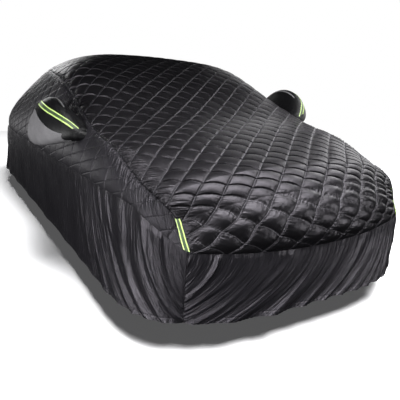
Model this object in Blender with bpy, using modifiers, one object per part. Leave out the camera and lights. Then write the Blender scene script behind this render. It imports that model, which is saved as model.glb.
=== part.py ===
"""Fitted, quilted cover in the shape in which it hangs when it is on.

Metres, +Z up.  The front faces -Y and the cover's right side is at -X.  The origin is under the
highest cloth, where the cover hangs.  The tables hold y from a line near the cover's middle and
heights above the floor; placed() turns both into the part's own frame.
"""
import bpy
import bmesh
import numpy as np

# Frame
TOP_HEIGHT = 1.430          # underside of the highest cloth above the floor, at the origin
TOP_PLACE = 0.600           # the origin's y in the tables

# Cloth
QUILT_THICK = 0.006         # padded cloth
CLOTH_THICK = 0.003         # plain cloth of the skirts
POCKET_THICK = 0.002        # cloth of the side pockets
TRIM_THICK = 0.0015         # grey patches and reflective strips
SEAM_GAP = 0.0009           # between two sewn pieces
SKIRT_GAP = 0.0011          # drawn in round a skirt, whose folds turn its edges
LAP_GAP = 0.0005            # between a cloth and what is laid on it

# Quilting: square diamonds, stitched along lines at 45 degrees
HALF_DIAGONAL = 0.0785      # half a diamond's diagonal
TOP_COLUMNS = 22            # half diagonals across the top panel
BAND_ROWS = 5               # half diagonals down a side band
BAND_PUFF = 0.005           # height of a diamond on the side
RIM_PUFF = 0.6              # share of its height that a diamond beside a seam reaches
STITCH_ANGLE = 0.09         # creases sharper than this, in radians, are shaded as such

# Stations from nose to tail.  mid: the cloth on the centre line.  seam: the top panel's edge.
# low: the lower edge of the side band.  crown: power of the arch across the panel.
# puff: height of a diamond.
STATION_COLUMNS = ("mid_y", "mid_z", "seam_x", "seam_y", "seam_z", "low_x", "low_y", "low_z",
                   "crown", "puff")
STATIONS = {
    "front edge": (-2.100, 0.500, 0.748, -1.985, 0.532, 0.748, -1.985, 0.532, 2.2, 0.012),
    "nose": (-2.120, 0.610, 0.753, -1.955, 0.580, 0.748, -1.985, 0.532, 2.2, 0.016),
    "nose top": (-2.100, 0.720, 0.757, -1.924, 0.632, 0.748, -1.985, 0.532, 2.4, 0.017),
    "corner": (-2.035, 0.800, 0.766, -1.902, 0.676, 0.748, -1.985, 0.532, 2.6, 0.015),
    "front lip": (-1.930, 0.858, 0.800, -1.838, 0.730, 0.858, -1.846, 0.640, 3.0, 0.012),
    "deck front": (-1.700, 0.912, 0.832, -1.670, 0.790, 0.896, -1.690, 0.696, 3.2, 0.009),
    "deck": (-1.350, 0.978, 0.848, -1.360, 0.908, 0.936, -1.360, 0.715, 3.4, 0.008),
    "deck rear": (-1.000, 1.042, 0.845, -1.020, 0.970, 0.947, -1.020, 0.720, 3.6, 0.007),
    "rise foot": (-0.750, 1.128, 0.835, -0.770, 1.045, 0.948, -0.760, 0.715, 4.0, 0.007),
    "rise": (-0.450, 1.258, 0.815, -0.460, 1.130, 0.948, -0.450, 0.710, 7.0, 0.006),
    "rise head": (-0.100, 1.370, 0.793, -0.120, 1.222, 0.947, -0.110, 0.705, 7.5, 0.006),
    "top front": (0.250, 1.416, 0.758, 0.250, 1.262, 0.946, 0.250, 0.700, 3.8, 0.006),
    "top": (0.600, 1.430, 0.694, 0.600, 1.272, 0.942, 0.600, 0.695, 2.6, 0.006),
    "top rear": (1.150, 1.400, 0.612, 1.150, 1.222, 0.932, 1.150, 0.685, 2.6, 0.006),
    "fall": (1.600, 1.280, 0.645, 1.580, 1.075, 0.890, 1.600, 0.670, 3.0, 0.006),
    "rear deck front": (1.950, 1.125, 0.682, 1.910, 0.948, 0.832, 1.940, 0.650, 3.0, 0.007),
    "rear deck": (2.180, 1.060, 0.692, 2.100, 0.885, 0.790, 2.140, 0.620, 2.8, 0.008),
    "rear corner": (2.330, 0.990, 0.704, 2.220, 0.825, 0.712, 2.285, 0.560, 2.6, 0.009),
    "tail": (2.405, 0.860, 0.706, 2.275, 0.720, 0.712, 2.285, 0.560, 2.4, 0.009),
    "rear edge": (2.415, 0.540, 0.706, 2.290, 0.560, 0.712, 2.285, 0.560, 2.2, 0.007),
}
BOW_POWER = 2.2             # how the front and rear edges bow between the corners
BELT_RISE = 0.45            # where the side turns upright, as a share of the band's height

# Hem: a rounded outline, its ends a power curve
HEM_HALF_WIDTH = 0.948
HEM_FRONT = 2.095
HEM_REAR = 2.385
HEM_END_DEPTH = 0.75
HEM_POWER = 3.3
HEM_TAPER = 0.090           # how much of its width the hem loses towards the rear
HEM_TAPER_FROM = 0.600      # y where that begins
HEM_HEIGHT = 0.170
HEM_FRONT_CORNER_X = 0.745  # where the side skirts meet the front one
HEM_REAR_CORNER_X = 0.700   # and the rear one

HEM_WAVE = 0.0015           # rise and fall of the hem
HEM_WAVE_TURNS = 9.0        # in radians for each metre

SKIRT_ROWS = 5
SIDE_COLUMNS = 72
END_COLUMNS = 40
FOLD_FADE = 0.035           # folds die away this close to a skirt's end

# Folds of a skirt.  place: distance from the piece's first edge at the hem.  top: how far down
# it begins, as a share of the drop.  lean: how far its upper end lies further along, on a curve
# that is upright at the top and bends towards the hem.
FOLD_CURVE = 1.8
FOLD_COLUMNS = ("place", "width", "depth", "top", "lean")
RIGHT_FOLDS = (
    (0.00, 0.035, 0.020, 0.10, 0.24),
    (0.08, 0.040, 0.026, 0.10, 0.25),
    (0.16, 0.045, 0.030, 0.05, 0.34),
    (0.24, 0.035, 0.024, 0.10, 0.42),
    (0.36, 0.070, 0.022, 0.10, 0.42),
    (0.54, 0.080, 0.014, 0.20, 0.34),
    (0.76, 0.090, 0.011, 0.30, 0.22),
    (1.02, 0.100, 0.009, 0.40, 0.10),
    (1.40, 0.120, 0.007, 0.45, 0.03),
    (1.95, 0.140, 0.008, 0.40, -0.02),
    (2.60, 0.130, 0.007, 0.45, 0.00),
    (3.20, 0.110, 0.010, 0.35, -0.06),
    (3.62, 0.080, 0.014, 0.25, -0.14),
    (3.90, 0.060, 0.018, 0.15, -0.20),
    (4.08, 0.050, 0.016, 0.15, -0.22),
)
LEFT_FOLDS = (
    (0.02, 0.035, 0.018, 0.10, 0.20),
    (0.10, 0.042, 0.024, 0.10, 0.24),
    (0.19, 0.045, 0.028, 0.05, 0.32),
    (0.29, 0.045, 0.022, 0.10, 0.36),
    (0.43, 0.070, 0.020, 0.15, 0.36),
    (0.62, 0.085, 0.013, 0.25, 0.26),
    (0.88, 0.100, 0.010, 0.35, 0.12),
    (1.30, 0.120, 0.008, 0.45, 0.02),
    (1.80, 0.130, 0.007, 0.40, 0.00),
    (2.45, 0.140, 0.008, 0.45, -0.02),
    (3.05, 0.110, 0.009, 0.40, -0.05),
    (3.50, 0.080, 0.013, 0.30, -0.12),
    (3.82, 0.060, 0.018, 0.15, -0.20),
    (4.05, 0.050, 0.016, 0.15, -0.22),
)
FRONT_FOLDS = (
    (0.05, 0.070, 0.014, 0.15, 0.37),
    (0.23, 0.080, 0.024, 0.05, 0.40),
    (0.47, 0.075, 0.028, 0.05, 0.31),
    (0.67, 0.045, 0.020, 0.10, 0.26),
    (0.82, 0.040, 0.022, 0.10, 0.28),
    (0.95, 0.040, 0.020, 0.10, 0.30),
    (1.07, 0.038, 0.018, 0.15, 0.26),
    (1.18, 0.036, 0.016, 0.15, 0.22),
    (1.29, 0.034, 0.016, 0.20, 0.16),
    (1.40, 0.032, 0.014, 0.20, 0.10),
)
REAR_FOLDS = (
    (0.14, 0.050, 0.018, 0.20, 0.16),
    (0.34, 0.060, 0.014, 0.30, 0.12),
    (0.66, 0.080, 0.009, 0.40, 0.04),
    (0.98, 0.070, 0.012, 0.35, -0.06),
    (1.22, 0.055, 0.016, 0.25, -0.12),
    (1.40, 0.045, 0.018, 0.20, -0.15),
)

# Pockets: each is half an ellipsoid, swollen beyond the oval hole in the side band that it covers.
# centre: y and height of the hole's centre.  tip: from there to the pocket's tip.
# swell: how much taller than its hole the pocket grows.
POCKET_COLUMNS = ("centre_y", "centre_z", "tip_x", "tip_y", "tip_z", "swell")
POCKETS = {
    "right": (-0.700, 0.968, 0.230, 0.030, 0.040, 3.0),
    "left": (-0.600, 1.000, 0.200, 0.030, 0.130, 2.2),
}
POCKET_HALF_LENGTH = 0.270
POCKET_HALF_HEIGHT = 0.062
POCKET_TILT = 0.14                  # rise of the hole's long axis to the rear, in radians
POCKET_FULLNESS = 0.75
POCKET_STEPS_LONG = 14
POCKET_STEPS_ROUND = 10
COLLAR_OUT = 0.013                  # the pocket swells from this far outside the band's lining
COLLAR_DEPTH = 0.020                # and its edge is tucked this far back through the hole
CUTTER_DEPTH = 0.6
FLAT_LENGTH = 0.42                  # the side band lies flat this far round the hole
FLAT_HEIGHT = 0.25
PATCH_LONG = (2, 11)                # grid lines between which the grey patch lies
PATCH_ROUND = (5, 9)
STRIP_WIDTH = 0.032
STRIP_ROUND = 1.30                  # angle round the pocket at which its strip runs
STRIP_LONG = (0.34, 2.00)           # angles along the pocket between which its strip runs
STRIP_STEPS = 18
STRIP_LIFT = 0.0009
CORNER_STRIP_WIDTH = 0.025
CORNER_STRIP_STEPS = 8
CORNER_STRIP_LIFT = 0.0079          # clears the diamonds beside the seam

# Finishes: colour, roughness and metallic value
BLACK_QUILT = ("quilted cloth", (0.020, 0.019, 0.022), 0.38, 0.0)
BLACK_CLOTH = ("plain cloth", (0.032, 0.031, 0.036), 0.50, 0.0)
POCKET_CLOTH = ("pocket cloth", (0.012, 0.012, 0.012), 0.45, 0.0)
GREY_CLOTH = ("grey cloth", (0.230, 0.225, 0.235), 0.60, 0.0)
REFLECTIVE = ("reflective tape", (0.550, 0.800, 0.220), 0.35, 0.0)


def clear_scene():
    """Remove the objects that a new file starts with."""
    for leftover in list(bpy.data.objects):
        bpy.data.objects.remove(leftover, do_unlink=True)


def collection_named(name):
    """Make a collection in the scene."""
    group = bpy.data.collections.new(name)
    bpy.context.scene.collection.children.link(group)
    return group


def material_of(finish):
    """Return the Principled material of a finish, made on its first use."""
    name, colour, roughness, metallic = finish
    material = bpy.data.materials.get(name)
    if material is None:
        material = bpy.data.materials.new(name)
        material.use_nodes = True
        shader = material.node_tree.nodes["Principled BSDF"]
        shader.inputs["Base Color"].default_value = (*colour, 1.0)
        shader.inputs["Roughness"].default_value = roughness
        shader.inputs["Metallic"].default_value = metallic
    return material


def placed(points):
    """Turn the tables' y and heights above the floor into the part's frame."""
    return points - np.array((0.0, TOP_PLACE, TOP_HEIGHT))


def smooth_through(knots, values, at):
    """Read a Catmull-Rom curve through the values, whose knots may be unevenly spaced."""
    steps = np.diff(knots)[:, None]
    slopes = np.diff(values, axis=0) / steps
    inner = (slopes[:-1] * steps[1:] + slopes[1:] * steps[:-1]) / (steps[:-1] + steps[1:])
    tangents = np.vstack((slopes[:1], inner, slopes[-1:]))
    part = np.clip(np.searchsorted(knots, at, side="right") - 1, 0, len(steps) - 1)
    u = (np.asarray(at) - knots[part])[:, None] / steps[part]
    start = (2 * u**3 - 3 * u**2 + 1) * values[part]
    leave = (u**3 - 2 * u**2 + u) * steps[part] * tangents[part]
    end = (3 * u**2 - 2 * u**3) * values[part + 1]
    arrive = (u**3 - u**2) * steps[part] * tangents[part + 1]
    return start + leave + end + arrive


def lengths_along(points):
    """Distance of each point from the first, along the line through them."""
    return np.concatenate(((0.0,), np.cumsum(np.linalg.norm(np.diff(points, axis=0), axis=1))))


STATION_VALUES = np.array(list(STATIONS.values()))
STATION_KNOTS = lengths_along(STATION_VALUES[:, :2])
STATION_PLACES = dict(zip(STATIONS, STATION_KNOTS))


def stations_at(places):
    """Each named column of the stations, read at places along the centre line."""
    rows = smooth_through(STATION_KNOTS, STATION_VALUES, places)
    return dict(zip(STATION_COLUMNS, rows.T))


def normals_of(grid):
    """Unit normals of a grid of points, from its steps along both directions."""
    along = np.gradient(grid, axis=0)
    across = np.gradient(grid, axis=1)
    normals = np.cross(across, along)
    return normals / np.linalg.norm(normals, axis=2, keepdims=True)


def diamond_heights(rows, columns):
    """1 on the middle of a diamond, less beside the rim, and 0 on it and where stitching crosses."""
    i, j = np.meshgrid(np.arange(rows), np.arange(columns), indexing="ij")
    from_rim = np.minimum(np.minimum(i, rows - 1 - i), np.minimum(j, columns - 1 - j))
    heights = np.where(from_rim == 1, RIM_PUFF, 1.0)
    return heights * ((i + j) % 2 == 1) * (from_rim > 0)


def build_sheet(name, grid, thickness, finish, group, side_of_wall=1.0, quilted=False):
    """Make one cloth from a grid of points: a surface with its thickness on one side of it."""
    rows, columns = grid.shape[:2]
    mesh = bpy.data.meshes.new(name)
    shape = bmesh.new()
    bmesh.ops.create_grid(shape, x_segments=columns - 1, y_segments=rows - 1, size=1.0)
    stitched = {"FIXED": [], "ALTERNATE": []}
    for face in shape.faces:
        row, column = divmod(min(vert.index for vert in face.verts), columns)
        split = "FIXED" if (row + column) % 2 == 0 else "ALTERNATE"
        stitched[split].append(face)
    for vert in shape.verts:
        row, column = divmod(vert.index, columns)
        vert.co = grid[row, column]
    if quilted:
        for split, faces in stitched.items():
            bmesh.ops.triangulate(shape, faces=faces, quad_method=split)
    bmesh.ops.remove_doubles(shape, verts=shape.verts, dist=0.00001)
    shape.to_mesh(mesh)
    shape.free()
    mesh.shade_smooth()
    if quilted:
        mesh.set_sharp_from_angle(angle=STITCH_ANGLE)
    sheet = bpy.data.objects.new(name, mesh)
    sheet.data.materials.append(material_of(finish))
    group.objects.link(sheet)
    wall = sheet.modifiers.new("thickness", "SOLIDIFY")
    wall.thickness = thickness
    wall.offset = side_of_wall
    return sheet


def handed(grid, side):
    """Carry a grid made for the cover's left over to the given side, still facing out."""
    if side > 0:
        return grid
    return grid[:, ::-1] * np.array((-1.0, 1.0, 1.0))


def inset(grid, gap):
    """Draw a grid's rim in by half the gap that it keeps to its neighbours."""
    shrunk = grid.copy()
    for axis in (0, 1):
        turned = np.moveaxis(shrunk, axis, 0)
        for edge, beside in ((0, 1), (-1, -2)):
            step = turned[beside] - turned[edge]
            length = np.linalg.norm(step, axis=1, keepdims=True)
            turned[edge] += 0.5 * gap * step / np.maximum(length, 0.001)
    return shrunk


def top_grid(places, across):
    """The panel from nose to tail: an arch between the seams at each place."""
    at = stations_at(places)
    share = across[None, :]
    bow = np.abs(share) ** BOW_POWER
    arch = np.abs(share) ** at["crown"][:, None]
    x = at["seam_x"][:, None] * share
    y = at["mid_y"][:, None] + (at["seam_y"] - at["mid_y"])[:, None] * bow
    z = at["mid_z"][:, None] + (at["seam_z"] - at["mid_z"])[:, None] * arch
    return np.stack((x, y, z), axis=2)


def build_top(group):
    """The quilted panel from the nose over the top to the tail."""
    places = top_places()
    across = np.linspace(-1.0, 1.0, TOP_COLUMNS + 1)
    grid = inset(top_grid(places, across), SEAM_GAP)
    puff = stations_at(places)["puff"][:, None] * diamond_heights(*grid.shape[:2])
    grid += normals_of(grid) * puff[:, :, None]
    build_sheet("top_panel", placed(grid), QUILT_THICK, BLACK_QUILT, group, quilted=True)


def band_grid(places, down):
    """The left side from the seam down: a curve that turns upright at its belt."""
    at = stations_at(places)
    seam = np.stack((at["seam_x"], at["seam_y"], at["seam_z"]), axis=1)
    low = np.stack((at["low_x"], at["low_y"], at["low_z"]), axis=1)
    belt = 0.5 * (seam + low)
    belt[:, 0] = low[:, 0]
    belt[:, 2] = low[:, 2] + BELT_RISE * (seam[:, 2] - low[:, 2])
    share = down[None, :, None]
    bend = (1 - share) ** 2 * seam[:, None] + 2 * share * (1 - share) * belt[:, None]
    return bend + share**2 * low[:, None]


def corner_line(down, front):
    """Edge of the top panel below its front or rear corner, from the corner down."""
    if front:
        places = STATION_PLACES["corner"] * (1.0 - down)
    else:
        start = STATION_PLACES["rear corner"]
        places = start + (STATION_KNOTS[-1] - start) * down
    return top_grid(places, np.array((1.0,)))[:, 0]


def band_places():
    """Places of the side band's rows, between the front and the rear corner."""
    first, last = STATION_PLACES["corner"], STATION_PLACES["rear corner"]
    return np.linspace(first, last, round((last - first) / HALF_DIAGONAL) + 1)


def top_places():
    """Places of the top panel's rows: the band's, and as many below each corner as it has."""
    along = band_places()
    front = np.linspace(0.0, along[0], BAND_ROWS + 1)
    rear = np.linspace(along[-1], STATION_KNOTS[-1], BAND_ROWS + 1)
    return np.concatenate((front[:-1], along, rear[1:]))


def band_surface():
    """The left side band's grid, its ends on the top panel's corners."""
    down = np.linspace(0.0, 1.0, BAND_ROWS + 1)
    grid = band_grid(band_places(), down)
    grid[0] = corner_line(down, front=True)
    grid[-1] = corner_line(down, front=False)
    return grid


def band_x_at(y, height):
    """How far out the left side band lies at a given y and height."""
    fine = np.linspace(STATION_PLACES["corner"], STATION_PLACES["rear corner"], 300)
    place = np.interp(y, stations_at(fine)["seam_y"], fine)
    column = band_grid(np.array((place,)), np.linspace(0.0, 1.0, 60))[0]
    return np.interp(height, column[::-1, 2], column[::-1, 0])


def pocket_on(word):
    """The named values of one side's pocket."""
    return dict(zip(POCKET_COLUMNS, POCKETS[word]))


def hole_line(pocket, angles, grow):
    """y and height of points round a pocket's hole, grown by the given distance."""
    length = -(POCKET_HALF_LENGTH + grow) * np.cos(angles)
    rise = (POCKET_HALF_HEIGHT + grow) * np.sin(angles)
    y = pocket["centre_y"] + length * np.cos(POCKET_TILT) - rise * np.sin(POCKET_TILT)
    height = pocket["centre_z"] + length * np.sin(POCKET_TILT) + rise * np.cos(POCKET_TILT)
    return y, height


def build_hole_cutter(name, side, pocket, group):
    """A prism with the outline of a pocket's hole, across the side band."""
    sides = 2 * POCKET_STEPS_LONG
    angles = np.linspace(0.0, 2.0 * np.pi, sides, endpoint=False)
    y, height = hole_line(pocket, angles, LAP_GAP)
    shape = bmesh.new()
    bmesh.ops.create_cone(shape, cap_ends=True, segments=sides, radius1=1.0, radius2=1.0,
                          depth=CUTTER_DEPTH)
    for vert in shape.verts:
        turn = np.arctan2(vert.co.y, vert.co.x) / (2.0 * np.pi)
        step = round(turn * sides) % sides
        across = side * (HEM_HALF_WIDTH + vert.co.z)
        vert.co = placed(np.array((across, y[step], height[step])))
    shape.normal_update()
    bmesh.ops.recalc_face_normals(shape, faces=shape.faces)
    mesh = bpy.data.meshes.new(name)
    shape.to_mesh(mesh)
    shape.free()
    cutter = bpy.data.objects.new(name, mesh)
    cutter.hide_render = True
    cutter.display_type = "WIRE"
    group.objects.link(cutter)
    return cutter


def build_band(name, side, pocket, cutter, group):
    """A quilted side band with an oval hole behind its pocket."""
    grid = inset(band_surface(), SEAM_GAP)
    from_hole = np.hypot((grid[:, :, 1] - pocket["centre_y"]) / FLAT_LENGTH,
                         (grid[:, :, 2] - pocket["centre_z"]) / FLAT_HEIGHT)
    puff = BAND_PUFF * diamond_heights(*grid.shape[:2]) * (from_hole > 1.0)
    grid += normals_of(grid) * puff[:, :, None]
    band = build_sheet(name, placed(handed(grid, side)), QUILT_THICK, BLACK_QUILT, group,
                       quilted=True)
    cut = band.modifiers.new("pocket hole", "BOOLEAN")
    cut.operation = "DIFFERENCE"
    cut.solver = "EXACT"
    cut.object = cutter


def hem_outline():
    """The hem on the left, from the middle of the front to the middle of the rear."""
    turn = np.linspace(0.0, 0.5 * np.pi, 200)
    wide = np.sin(turn) ** (2.0 / HEM_POWER)
    deep = np.cos(turn) ** (2.0 / HEM_POWER)
    front_y = -(HEM_FRONT - HEM_END_DEPTH) - HEM_END_DEPTH * deep
    rear_y = (HEM_REAR - HEM_END_DEPTH) + HEM_END_DEPTH * deep[::-1]
    y = np.concatenate((front_y, rear_y))
    taper = HEM_TAPER * np.clip((y - HEM_TAPER_FROM) / (HEM_REAR - HEM_TAPER_FROM), 0.0, 1.0)
    x = HEM_HALF_WIDTH * np.concatenate((wide, wide[::-1])) * (1.0 - taper)
    return np.stack((x, y, np.full_like(x, HEM_HEIGHT)), axis=1)


def hem_piece(which):
    """The stretch of hem under one skirt, in the order of that skirt's rows."""
    outline = hem_outline()
    half = len(outline) // 2
    front_count = np.searchsorted(outline[:half, 0], HEM_FRONT_CORNER_X)
    rear_count = np.searchsorted(outline[:half - 1:-1, 0], HEM_REAR_CORNER_X)
    front = outline[:front_count + 1]
    rear = outline[len(outline) - rear_count - 1:]
    flip = np.array((-1.0, 1.0, 1.0))
    if which == "side":
        return outline[front_count:len(outline) - rear_count]
    if which == "front":
        return np.concatenate((front[::-1] * flip, front[1:]))
    return np.concatenate((rear, rear[-2::-1] * flip))


def spread(line, shares):
    """Points at shares of a line's length."""
    lengths = lengths_along(line)
    wanted = shares * lengths[-1]
    return np.stack([np.interp(wanted, lengths, line[:, axis]) for axis in range(3)], axis=1)


def closer_at_ends(count):
    """Shares from 0 to 1 that lie closer together towards both ends."""
    even = np.linspace(0.0, 1.0, count + 1)
    return 0.45 * even + 0.55 * (0.5 - 0.5 * np.cos(np.pi * even))


def fold_heights(shares, length, down, folds):
    """How far each point of a skirt stands out: soft ridges that grow towards the hem."""
    along = (shares * length)[:, None]
    drop = down[None, :]
    total = np.zeros((len(shares), len(down)))
    for row in folds:
        fold = dict(zip(FOLD_COLUMNS, row))
        ridge = fold["place"] + fold["lean"] * (1.0 - drop ** FOLD_CURVE)
        from_ridge = (along - ridge) / fold["width"]
        growth = np.clip((drop - fold["top"]) / (1.0 - fold["top"]), 0.0, 1.0)
        total += fold["depth"] * np.exp(-np.abs(from_ridge) ** 1.8) * growth
    near_end = np.clip(np.minimum(along, length - along) / FOLD_FADE, 0.0, 1.0)
    return total * near_end


def build_skirt(name, top_line, hem_line, folds, columns, side, group):
    """A plain skirt that hangs from an edge of the quilting to the hem."""
    shares = closer_at_ends(columns)
    down = np.linspace(0.0, 1.0, SKIRT_ROWS + 1)
    top = spread(top_line, shares)
    hem = spread(hem_line, shares)
    length = lengths_along(hem_line)[-1]
    hem[:, 2] += HEM_WAVE * np.sin(shares * length * HEM_WAVE_TURNS) * np.sin(np.pi * shares)
    ahead = np.gradient(hem, axis=0)
    out = np.stack((ahead[:, 1], -ahead[:, 0], np.zeros(len(hem))), axis=1)
    out /= np.linalg.norm(out, axis=1, keepdims=True)
    grid = top[:, None] * (1.0 - down)[None, :, None] + hem[:, None] * down[None, :, None]
    heights = fold_heights(shares, length, down, folds)
    grid = inset(grid + out[:, None] * heights[:, :, None], SKIRT_GAP)
    build_sheet(name, placed(handed(grid, side)), CLOTH_THICK, BLACK_CLOTH, group)


def build_skirts(group):
    """The four skirts, which meet below the corners."""
    across = np.linspace(-1.0, 1.0, TOP_COLUMNS + 1)
    front_edge = top_grid(np.array((0.0,)), across)[0]
    rear_edge = top_grid(STATION_KNOTS[-1:], across[::-1])[0]
    side_edge = band_surface()[:, -1]
    build_skirt("skirt_front", front_edge, hem_piece("front"), FRONT_FOLDS, END_COLUMNS, 1, group)
    build_skirt("skirt_rear", rear_edge, hem_piece("rear"), REAR_FOLDS, END_COLUMNS, 1, group)
    for name, side, folds in (("skirt_right", -1, RIGHT_FOLDS), ("skirt_left", 1, LEFT_FOLDS)):
        build_skirt(name, side_edge, hem_piece("side"), folds, SIDE_COLUMNS, side, group)


def pocket_grid(pocket, long_angles, round_angles):
    """A pocket on the left: an arch from the hole's upper to its lower edge at each angle."""
    edges = []
    for turn in (1.0, -1.0):
        y, height = hole_line(pocket, turn * long_angles, 0.0)
        x = COLLAR_OUT + np.array([band_x_at(*point) for point in zip(y, height)])
        edges.append(np.stack((x, y, height), axis=1))
    upper, lower = edges[0][:, None], edges[1][:, None]
    around = round_angles[None, :, None]
    full = (np.abs(np.sin(long_angles)) ** POCKET_FULLNESS)[:, None, None]
    rise = np.abs(np.sin(around)) ** POCKET_FULLNESS
    taller = 1.0 + pocket["swell"] * full * np.sin(around)
    across = 0.5 * (upper - lower) * np.cos(around) * taller
    tip = np.array((pocket["tip_x"], pocket["tip_y"], pocket["tip_z"]))
    return 0.5 * (upper + lower) + across + tip * full * rise


def build_pocket(name, side, pocket, group):
    """A pocket with its grey patch, its edge tucked through the hole of the side band."""
    long_angles = np.linspace(0.0, np.pi, POCKET_STEPS_LONG + 1)
    round_angles = np.linspace(0.0, np.pi, POCKET_STEPS_ROUND + 1)
    dome = pocket_grid(pocket, long_angles, round_angles)
    tuck = np.array((COLLAR_DEPTH, 0.0, 0.0))
    grid = np.concatenate((dome[:, :1] - tuck, dome, dome[:, -1:] - tuck), axis=1)
    build_sheet(name, placed(handed(grid, side)), POCKET_THICK, POCKET_CLOTH, group, -1.0)
    patch = dome[PATCH_LONG[0]:PATCH_LONG[1] + 1, PATCH_ROUND[0]:PATCH_ROUND[1] + 1]
    patch = patch + normals_of(patch) * LAP_GAP
    build_sheet(f"{name}_patch", placed(handed(patch, side)), TRIM_THICK, GREY_CLOTH, group)


def build_pocket_strip(name, side, pocket, group):
    """The reflective strip over a pocket, from its front end to its outer end."""
    long_angles = np.linspace(*STRIP_LONG, STRIP_STEPS + 1)
    step = 0.01
    beside = pocket_grid(pocket, long_angles, STRIP_ROUND + step * np.array((-1.0, 1.0)))
    per_radian = np.linalg.norm(beside[:, 1] - beside[:, 0], axis=1) / (2.0 * step)
    half_angles = 0.5 * STRIP_WIDTH / per_radian
    across = np.array((-1.0, 0.0, 1.0))
    grid = np.array([pocket_grid(pocket, np.array((along,)), STRIP_ROUND + half * across)[0]
                     for along, half in zip(long_angles, half_angles)])
    grid += normals_of(grid) * STRIP_LIFT
    build_sheet(name, placed(handed(grid, side)), TRIM_THICK, REFLECTIVE, group)


def build_corner_strip(name, side, group):
    """The reflective strip over the seam at a front corner."""
    half = 0.5 * CORNER_STRIP_WIDTH
    down = np.linspace(1.0, 0.0, CORNER_STRIP_STEPS + 1) * 0.94 + 0.02
    corner = STATION_PLACES["corner"]
    places = corner * (1.0 - down)
    on_top = top_grid(places, np.array((1.0 - half / stations_at(places)["seam_x"].mean(),)))[:, 0]
    on_seam = corner_line(down, front=True)
    on_band = on_seam + half * (band_grid(np.array((corner + HALF_DIAGONAL,)), down)[0] - on_seam) \
        / HALF_DIAGONAL
    grid = np.stack((on_top, on_seam, on_band), axis=1)
    grid += normals_of(grid) * CORNER_STRIP_LIFT
    build_sheet(name, placed(handed(grid, side)), TRIM_THICK, REFLECTIVE, group)


def main():
    """Build the cover, piece by piece."""
    clear_scene()
    cover = collection_named("car_cover")
    cutters = collection_named("cutters")
    build_top(cover)
    build_skirts(cover)
    for word, side in (("right", -1), ("left", 1)):
        pocket = pocket_on(word)
        cutter = build_hole_cutter(f"hole_{word}", side, pocket, cutters)
        build_band(f"band_{word}", side, pocket, cutter, cover)
        build_pocket(f"pocket_{word}", side, pocket, cover)
        build_pocket_strip(f"pocket_{word}_strip", side, pocket, cover)
        build_corner_strip(f"corner_{word}_strip", side, cover)


main()
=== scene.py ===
import bpy
import numpy as np
from mathutils import Matrix


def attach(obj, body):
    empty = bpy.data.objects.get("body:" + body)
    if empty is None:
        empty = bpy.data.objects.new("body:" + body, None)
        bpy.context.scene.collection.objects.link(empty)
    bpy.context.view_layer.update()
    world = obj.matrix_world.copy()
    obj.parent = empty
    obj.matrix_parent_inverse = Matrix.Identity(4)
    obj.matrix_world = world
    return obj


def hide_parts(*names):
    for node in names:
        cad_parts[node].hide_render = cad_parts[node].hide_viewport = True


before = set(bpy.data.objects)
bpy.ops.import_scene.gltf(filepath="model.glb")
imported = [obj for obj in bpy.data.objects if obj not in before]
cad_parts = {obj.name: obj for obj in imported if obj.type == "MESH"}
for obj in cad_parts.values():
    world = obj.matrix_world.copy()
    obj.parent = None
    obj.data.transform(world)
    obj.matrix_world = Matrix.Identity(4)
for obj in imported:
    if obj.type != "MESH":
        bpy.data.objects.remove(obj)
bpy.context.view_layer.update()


# ---- Studio ----
# A pale floor under the hem, a white surround, and soft lights that graze the black cloth, so that
# its diamonds and folds show. The camera stands ahead of the cover's front right corner.

FLOOR_HEIGHT = -1.430
FLOOR_HALF_SIZE = 5.5
FLOOR_GLOW = 0.10
FLOOR_COLOUR = (0.86, 0.86, 0.87, 1.0)
FLOOR_ROUGHNESS = 0.9
CAMERA_PLACE = (-1.7724, -4.3526, -0.0699)
CAMERA_YAW = 0.5698
CAMERA_PITCH = 0.2676
CAMERA_ROLL = 0.0514
CAMERA_LENS = 42.627
CAMERA_SHIFT = (-0.0245, -0.0038)
SURROUND_SEEN = (1.0, 1.0, 1.0, 1.0)
SURROUND_LOW = (0.006, 0.006, 0.007, 1.0)
SURROUND_HIGH = (0.011, 0.011, 0.013, 1.0)
LIGHT_COLUMNS = ("name", "place", "aim", "size", "spread", "watts", "lights_floor")
LIGHTS = (
    ("over the nose", (0.0, -3.0, 1.7), (0.0, -2.5, -0.6), (3.2, 2.0), 60.0, 33.0, False),
    ("ahead", (0.6, -4.6, 1.6), (0.0, -2.7, -0.7), (2.0, 1.0), 180.0, 62.0, False),
    ("left above", (2.6, -1.9, 1.2), (0.2, -2.2, -0.6), (2.0, 1.0), 80.0, 9.0, False),
    ("left behind", (2.4, 0.9, 0.6), (0.1, -1.9, -0.5), (1.2, 0.6), 40.0, 0.3, False),
    ("right front", (-5.0, -4.6, -0.6), (-0.8, -2.2, -1.0), (0.9, 1.2), 180.0, 165.0, False),
    ("right rear", (-3.2, 4.6, -0.7), (-0.9, -0.8, -1.0), (1.2, 1.0), 180.0, 17.0, False),
    ("right side", (-5.5, -1.6, -0.5), (-0.9, -0.6, -0.9), (2.0, 1.0), 180.0, 95.0, False),
    ("left side", (5.0, -0.4, 0.0), (0.9, -0.2, -0.9), (4.0, 1.2), 180.0, 40.0, False),
    ("front", (3.6, -6.4, -1.0), (0.2, -2.6, -1.1), (0.9, 0.7), 180.0, 58.0, False),
    ("rear", (0.0, 7.0, 1.6), (0.0, 1.8, -0.8), (3.0, 1.4), 40.0, 10.0, False),
    ("floor wash", (0.6, -4.1, 6.0), (0.6, -4.1, 0.0), (5.0, 6.0), 180.0, 3200.0, True),
)


def unit(vector):
    """The vector at a length of one."""
    return np.asarray(vector, float) / np.linalg.norm(vector)


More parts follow.
